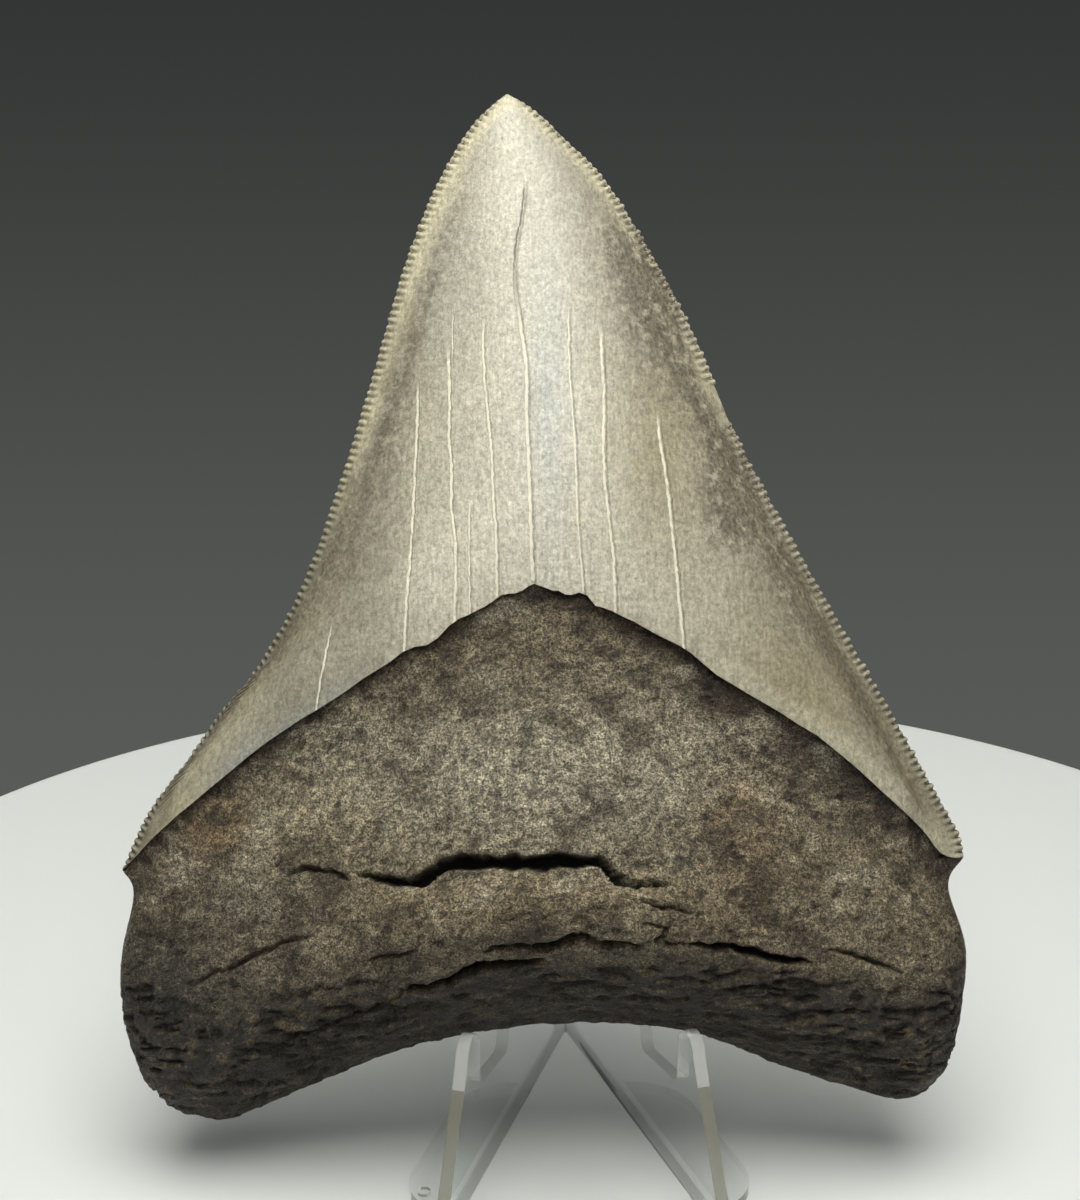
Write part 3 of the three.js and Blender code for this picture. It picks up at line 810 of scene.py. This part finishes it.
def easel_look(face):
    x, y, z = face.center * 1000
    angle = wing_direction(-1 if x < SPINE[0] else 1)
    along = Vector((math.cos(angle), math.sin(angle), 0))
    across = Vector((-math.sin(angle), math.cos(angle), 0))
    place = Vector((x - SPINE[0], y - SPINE[1], 0))
    reach = place.dot(along)
    if face.normal.z < -FACING and z < 0.5 and abs(place.dot(across)) < PLATE + 0.3:
        return UNDER_WING_SHADE
    if abs(face.normal.dot(across)) > FACING or (z < 1.5 and abs(face.normal.z) > FACING):
        return CLEAR_FACE
    if z < 1.4 and reach < WING_FRONT_FROM:
        return FOOT_RIM
    if reach > FINGER_FROM and z > FRONT_BEND[1] - 0.1:
        return FINGER_TOP_HIGHLIGHT
    return WING_FRONT if reach > WING_FRONT_FROM else NARROW_EDGE


def paint_easel(mesh):
    colours = np.ones((len(mesh.loops), 4), np.float32)
    amounts = np.zeros(len(mesh.loops), np.float32)
    for face in mesh.polygons:
        colour, amount = easel_look(face)
        for i in face.loop_indices:
            colours[i, :3] = colour
            amounts[i] = amount
    give(mesh, "tint", "FLOAT_COLOR", "CORNER", colours)
    give(mesh, "solid", "FLOAT", "CORNER", amounts)


def easel_piece():
    parts = []
    for side in (-1, 1):
        plate = prism(wing_outline(), min(0, side * PLATE), max(0, side * PLATE), upright=True)
        foot = prism([(x, side * y) for x, y in foot_outline()], 0, FOOT_THICKNESS)
        parts += [turned(part, wing_direction(side)) for part in (plate, foot)]
    spine = prism(circle((0, SPINE_SET_BACK), SPINE_RADIUS, 24), 0, ARM_HEIGHT)
    easel = joined(spine, parts)
    low, high = FOOT_THICKNESS - MARK_DEPTH, FOOT_THICKNESS + MARK_DEPTH
    mark = prism(circle(MARK_PLACE, MARK_RADIUS, 16), low, high)
    easel = joined(easel, [turned(mark, wing_direction(-1))], "DIFFERENCE")
    for v in easel.data.vertices:
        v.co = ((v.co.x + SPINE[0]) / 1000, (v.co.y + SPINE[1]) / 1000, v.co.z / 1000)
    bevel = easel.modifiers.new("soft edges", "BEVEL")
    bevel.width = SOFT_EDGE / 1000
    bevel.segments = 2
    bevel.limit_method = "ANGLE"
    bevel.angle_limit = math.radians(35)
    bevel.use_clamp_overlap = True
    easel.name = "clear_easel"
    easel.data.name = "clear_easel"
    easel.data.shade_smooth()
    easel.data.set_sharp_from_angle(angle=math.radians(30))
    paint_easel(easel.data)
    return easel


# Materials
class Graph:
    """Short ways to add nodes to a material."""

    def __init__(self, tree):
        self.tree = tree

    def node(self, kind, **settings):
        n = self.tree.nodes.new(kind)
        for k, value in settings.items():
            setattr(n, k, value)
        return n

    def link(self, a, b):
        self.tree.links.new(a, b)

    def put(self, socket, value):
        if hasattr(value, "is_output"):
            self.link(value, socket)
        else:
            socket.default_value = value

    def math(self, op, a, b=0.0):
        n = self.node("ShaderNodeMath", operation=op)
        self.put(n.inputs[0], a)
        self.put(n.inputs[1], b)
        return n.outputs[0]

    def times(self, a, b):
        return self.math("MULTIPLY", a, b)

    def line(self, value, a, b, lo, hi, kind="LINEAR"):
        """Turns a value between a and b into one between lo and hi."""
        n = self.node("ShaderNodeMapRange", interpolation_type=kind)
        for k, x in enumerate((value, a, b, lo, hi)):
            self.put(n.inputs[k], x)
        return n.outputs[0]

    def ramp(self, value, a, b, lo=0.0, hi=1.0):
        """The same with soft ends."""
        return self.line(value, a, b, lo, hi, "SMOOTHSTEP")

    def noise(self, vector, scale, detail=3.0, roughness=0.55):
        n = self.node("ShaderNodeTexNoise")
        self.link(vector, n.inputs["Vector"])
        n.inputs["Scale"].default_value = scale
        n.inputs["Detail"].default_value = detail
        n.inputs["Roughness"].default_value = roughness
        return n.outputs["Fac"]

    def stretch(self, vector, scale):
        n = self.node("ShaderNodeVectorMath", operation="MULTIPLY")
        self.link(vector, n.inputs[0])
        n.inputs[1].default_value = scale
        return n.outputs[0]

    def scaled(self, colour, amount):
        n = self.node("ShaderNodeVectorMath", operation="SCALE")
        self.link(colour, n.inputs[0])
        self.link(amount, n.inputs[3])
        return n.outputs[0]

    def mix(self, amount, a, b):
        n = self.node("ShaderNodeMix", data_type="RGBA")
        self.put(n.inputs[0], amount)
        for socket, value in ((n.inputs[6], a), (n.inputs[7], b)):
            self.put(socket, value if hasattr(value, "is_output") else (*value, 1.0))
        return n.outputs[2]

    def attribute(self, name, output):
        n = self.node("ShaderNodeAttribute", attribute_name=name)
        return n.outputs[output]

    def axes(self, vector):
        n = self.node("ShaderNodeSeparateXYZ")
        self.link(vector, n.inputs[0])
        return n.outputs

    def bump(self, height, strength, distance, before=None):
        """A surface normal with relief. distance is in metres, and before is a normal that it adds to."""
        n = self.node("ShaderNodeBump")
        n.inputs["Strength"].default_value = strength
        n.inputs["Distance"].default_value = distance
        self.link(height, n.inputs["Height"])
        if before is not None:
            self.link(before, n.inputs["Normal"])
        return n.outputs[0]

    def curve(self, value, points):
        """A line's x for each z, from its points as (x, z) from top to bottom."""
        xs, zs = zip(*points)
        left, right, low, high = min(xs) - 0.5, max(xs) + 0.5, zs[-1], zs[0]
        n = self.node("ShaderNodeFloatCurve")
        line = n.mapping.curves[0]
        marks = sorted(((z - low) / (high - low), (x - left) / (right - left)) for x, z in points)
        line.points[0].location = marks[0]
        line.points[1].location = marks[-1]
        for mark in marks[1:-1]:
            line.points.new(*mark)
        for p in line.points:
            p.handle_type = "AUTO"
        n.mapping.update()
        self.link(self.line(value, low, high, 0, 1), n.inputs["Value"])
        return self.line(n.outputs[0], 0, 1, left, right)


def material(name):
    """A new material, its graph and its shader."""
    m = bpy.data.materials.new(name)
    m.use_nodes = True
    return m, Graph(m.node_tree), m.node_tree.nodes["Principled BSDF"]


def enamel_cracks(g, place, x, y, z):
    """How much the cracks' filling shows at each point of the front, and the shade on their right."""
    wobble = g.line(g.noise(place, 1.1, 3.0), 0.3, 0.7, -0.08, 0.08)
    xw = g.math("ADD", x, wobble)
    front = g.math("LESS_THAN", y, -0.6)
    total, shade = None, None
    for points, half in ENAMEL_CRACKS:
        low, high = points[-1][1], points[0][1]
        across = g.math("SUBTRACT", xw, g.curve(z, points))
        thin = g.line(z, 88, 98, 1.0, 0.5)
        line = g.ramp(g.math("DIVIDE", g.math("ABSOLUTE", across), thin), half * 0.6, half * 1.55, 1.0, 0.0)
        beside = g.ramp(g.math("ABSOLUTE", g.math("SUBTRACT", across, half * 1.9)), 0.03, 0.16, 1.0, 0.0)
        ends = g.times(g.ramp(z, low - 0.2, low + 0.2), g.ramp(z, high - 2.5, high, 1.0, 0.0))
        line, beside = g.times(line, ends), g.times(beside, ends)
        total = line if total is None else g.math("MAXIMUM", total, line)
        shade = beside if shade is None else g.math("MAXIMUM", shade, beside)
    broken = g.ramp(g.noise(g.stretch(place, (1.0, 1.0, 0.9)), 1.0, 3.0), 0.34, 0.52, 0.6, 1.0)
    return g.times(g.times(total, front), broken), g.times(shade, front)


def enamel_material():
    m, g, shader = material("enamel")
    place = g.attribute("place", "Vector")
    tint = g.attribute("tint", "Color")
    mottle = g.attribute("mottle", "Fac")
    x, y, z = g.axes(place)
    cracks, shade = enamel_cracks(g, place, x, y, z)
    fibre = g.noise(g.stretch(place, (3.2, 1.6, 0.22)), 1.0, 4.0, 0.62)
    grain = g.noise(g.stretch(place, (2.3, 2.3, 1.8)), 1.0, 3.0, 0.7)
    speck = g.noise(place, 4.2, 2.0, 0.6)
    blotch = g.noise(place, 0.75, 5.0, 0.72)
    light = g.times(g.line(fibre, 0.3, 0.7, 0.84, 1.12), g.line(grain, 0.3, 0.7, 0.66, 1.32))
    light = g.times(light, g.line(speck, 0.3, 0.7, 0.86, 1.12))
    colour = g.scaled(tint, light)
    brown = g.mix(g.ramp(grain, 0.35, 0.65), (0.085, 0.07, 0.045), (0.19, 0.165, 0.12))
    patchy = g.ramp(g.math("ADD", blotch, g.times(mottle, 0.12)), 0.46, 0.64)
    colour = g.mix(g.times(g.times(mottle, patchy), 0.9), colour, brown)
    colour = g.mix(g.ramp(speck, 0.66, 0.74, 0.0, 0.45), colour, (0.07, 0.06, 0.045))
    colour = g.mix(g.times(shade, 0.35), colour, (0.12, 0.11, 0.085))
    # The cracks are filled with pale matter, apart from the dark top of the longest.
    filling = g.mix(g.ramp(z, 86, 98), (0.8, 0.76, 0.6), (0.12, 0.115, 0.095))
    colour = g.mix(g.times(cracks, 0.92), colour, filling)
    g.link(colour, shader.inputs["Base Color"])
    g.link(g.ramp(grain, 0.3, 0.7, 0.34, 0.52), shader.inputs["Roughness"])
    shader.inputs["Specular IOR Level"].default_value = 0.5
    height = g.math("ADD", g.times(fibre, 0.35), g.times(grain, 0.65))
    soft = g.bump(height, 0.45, 0.0003)
    sunk = g.math("SUBTRACT", 1.0, g.math("MAXIMUM", cracks, shade))
    g.link(g.bump(sunk, 0.5, 0.0002, soft), shader.inputs["Normal"])
    return m


def root_material():
    m, g, shader = material("root bone")
    place = g.attribute("place", "Vector")
    tint = g.attribute("tint", "Color")
    grain = g.noise(place, 1.9, 4.0, 0.68)
    fine = g.noise(place, 5.0, 3.0, 0.7)
    streak = g.noise(g.stretch(place, (0.8, 1.4, 2.8)), 1.0, 4.0, 0.65)
    light = g.times(g.ramp(grain, 0.36, 0.64, 0.5, 1.5), g.ramp(fine, 0.36, 0.66, 0.34, 1.9))
    light = g.times(light, g.ramp(streak, 0.4, 0.6, 1.12, 0.8))
    colour = g.scaled(tint, light)
    colour = g.mix(g.ramp(fine, 0.62, 0.72, 0.0, 0.35), colour, (0.5, 0.45, 0.34))
    g.link(colour, shader.inputs["Base Color"])
    g.link(g.ramp(fine, 0.35, 0.7, 0.62, 0.36), shader.inputs["Roughness"])
    shader.inputs["Specular IOR Level"].default_value = 0.5
    coarse = g.bump(g.math("ADD", grain, g.times(streak, 0.5)), 1.0, 0.0007)
    g.link(g.bump(fine, 1.0, 0.0006, coarse), shader.inputs["Normal"])
    return m


def acrylic_material():
    m, g, shader = material("clear acrylic")
    coords = g.node("ShaderNodeTexCoord")
    dust = g.noise(coords.outputs["Object"], 900.0, 4.0, 0.6)
    tint = g.attribute("tint", "Color")
    solid = g.attribute("solid", "Fac")
    g.link(tint, shader.inputs["Base Color"])
    g.link(g.line(solid, 0.1, 0.8, 0.9, 0.25), shader.inputs["Transmission Weight"])
    clear = g.node("ShaderNodeBsdfTransparent")
    clear.inputs[0].default_value = (0.987, 0.993, 0.99, 1)
    blend = g.node("ShaderNodeMixShader")
    g.link(solid, blend.inputs[0])
    g.link(clear.outputs[0], blend.inputs[1])
    g.link(shader.outputs[0], blend.inputs[2])
    g.link(blend.outputs[0], m.node_tree.nodes["Material Output"].inputs["Surface"])
    shader.inputs["IOR"].default_value = 1.49
    g.link(g.ramp(dust, 0.5, 0.8, 0.03, 0.16), shader.inputs["Roughness"])
    return m


for piece, finish, node in (
    (crown_piece(), enamel_material(), "tooth"),
    (root_piece(), root_material(), "tooth"),
    (easel_piece(), acrylic_material(), "easel"),
):
    piece.data.materials.append(finish)
    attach(piece, "root")
    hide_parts(node)

# Setting, in metres
FLOOR_RADIUS = 0.121
FLOOR_THICKNESS = 0.012
FLOOR_CENTRE = (0.0061, 0.0444)
FLOOR_RIM = 0.003
BACKDROP_SIZE = 4
BACKDROP_BEHIND = 0.9
WARM = (1, 0.99, 0.94)
WHITE = (1, 1, 1)
# Soft lights: name, place, the point it faces, size, power in watts and colour.
LIGHTS = [
    ("top soft", (0, -0.16, 0.62), (0, 0, 0.06), 0.55, 5.6, WARM),
    ("front soft", (0, -0.6, 0.45), (0, 0, 0.08), 0.3, 1.0, WARM),
    ("left fill", (-0.6, -0.1, 0.35), (0, 0, 0.06), 0.4, 0.35, WHITE),
    ("right fill", (0.6, -0.1, 0.35), (0, 0, 0.06), 0.4, 0.35, WHITE),
]
# The camera is placed from the easel's spine, in millimetres.
CAMERA_LEFT_OF_SPINE = 3.4
CAMERA_AHEAD_OF_SPINE = 241.2
CAMERA_HEIGHT = 129
CAMERA_LOOKS_DOWN = 16
CAMERA_LENS = 60
SENSOR_HEIGHT = 36
PHOTO_WIDTH, PHOTO_HEIGHT = 1080, 1200


def floor_material():
    m, _, shader = material("floor white")
    shader.inputs["Base Color"].default_value = (0.66, 0.68, 0.67, 1)
    shader.inputs["Roughness"].default_value = 0.55
    return m


def backdrop_material():
    """A grey that glows by itself, lighter towards the floor."""
    m, g, shader = material("grey backdrop")
    coords = g.node("ShaderNodeTexCoord")
    glow = g.ramp(g.axes(coords.outputs["Object"])[1], 0.25, -0.35)
    colour = g.mix(glow, (0.028, 0.03, 0.029), (0.10, 0.105, 0.10))
    shader.inputs["Base Color"].default_value = (0, 0, 0, 1)
    shader.inputs["Roughness"].default_value = 1.0
    shader.inputs["Specular IOR Level"].default_value = 0.0
    g.link(colour, shader.inputs["Emission Color"])
    shader.inputs["Emission Strength"].default_value = 1.0
    return m


def make_floor():
    place = (*FLOOR_CENTRE, -FLOOR_THICKNESS / 2)
    size = {"radius": FLOOR_RADIUS, "depth": FLOOR_THICKNESS}
    bpy.ops.mesh.primitive_cylinder_add(vertices=256, location=place, **size)
    floor = bpy.context.object
    floor.name = "floor"
    floor.data.materials.append(floor_material())
    bevel = floor.modifiers.new("round rim", "BEVEL")
    bevel.width = FLOOR_RIM
    bevel.segments = 4


def make_backdrop():
    upright = (math.radians(90), 0, 0)
    bpy.ops.mesh.primitive_plane_add(size=BACKDROP_SIZE, location=(0, BACKDROP_BEHIND, 0), rotation=upright)
    backdrop = bpy.context.object
    backdrop.name = "backdrop"
    backdrop.data.materials.append(backdrop_material())


def make_light(name, place, target, size, power, colour):
    data = bpy.data.lights.new(name, "AREA")
    data.energy = power
    data.size = size
    data.color = colour
    light = bpy.data.objects.new(name, data)
    light.location = place
    light.rotation_euler = (Vector(target) - Vector(place)).to_track_quat("-Z", "Y").to_euler()
    bpy.context.collection.objects.link(light)


def make_world():
    world = bpy.data.worlds.new("studio")
    bpy.context.scene.world = world
    world.use_nodes = True
    background = world.node_tree.nodes["Background"]
    background.inputs["Color"].default_value = (0.5, 0.51, 0.5, 1)
    background.inputs["Strength"].default_value = 0.14


def make_camera():
    data = bpy.data.cameras.new("camera")
    data.lens = CAMERA_LENS
    data.sensor_fit = "VERTICAL"
    data.sensor_height = SENSOR_HEIGHT
    data.sensor_width = SENSOR_HEIGHT * PHOTO_WIDTH / PHOTO_HEIGHT
    data.clip_start = 0.01
    camera = bpy.data.objects.new("camera", data)
    x, y = SPINE[0] - CAMERA_LEFT_OF_SPINE, SPINE[1] - CAMERA_AHEAD_OF_SPINE
    camera.location = (x / 1000, y / 1000, CAMERA_HEIGHT / 1000)
    camera.rotation_euler = (math.radians(90 - CAMERA_LOOKS_DOWN), 0, 0)
    bpy.context.collection.objects.link(camera)
    bpy.context.scene.camera = camera


make_floor()
make_backdrop()
for light in LIGHTS:
    make_light(*light)
make_world()
make_camera()
bpy.context.scene.view_settings.view_transform = "Standard"
bpy.context.scene.view_settings.look = "None"
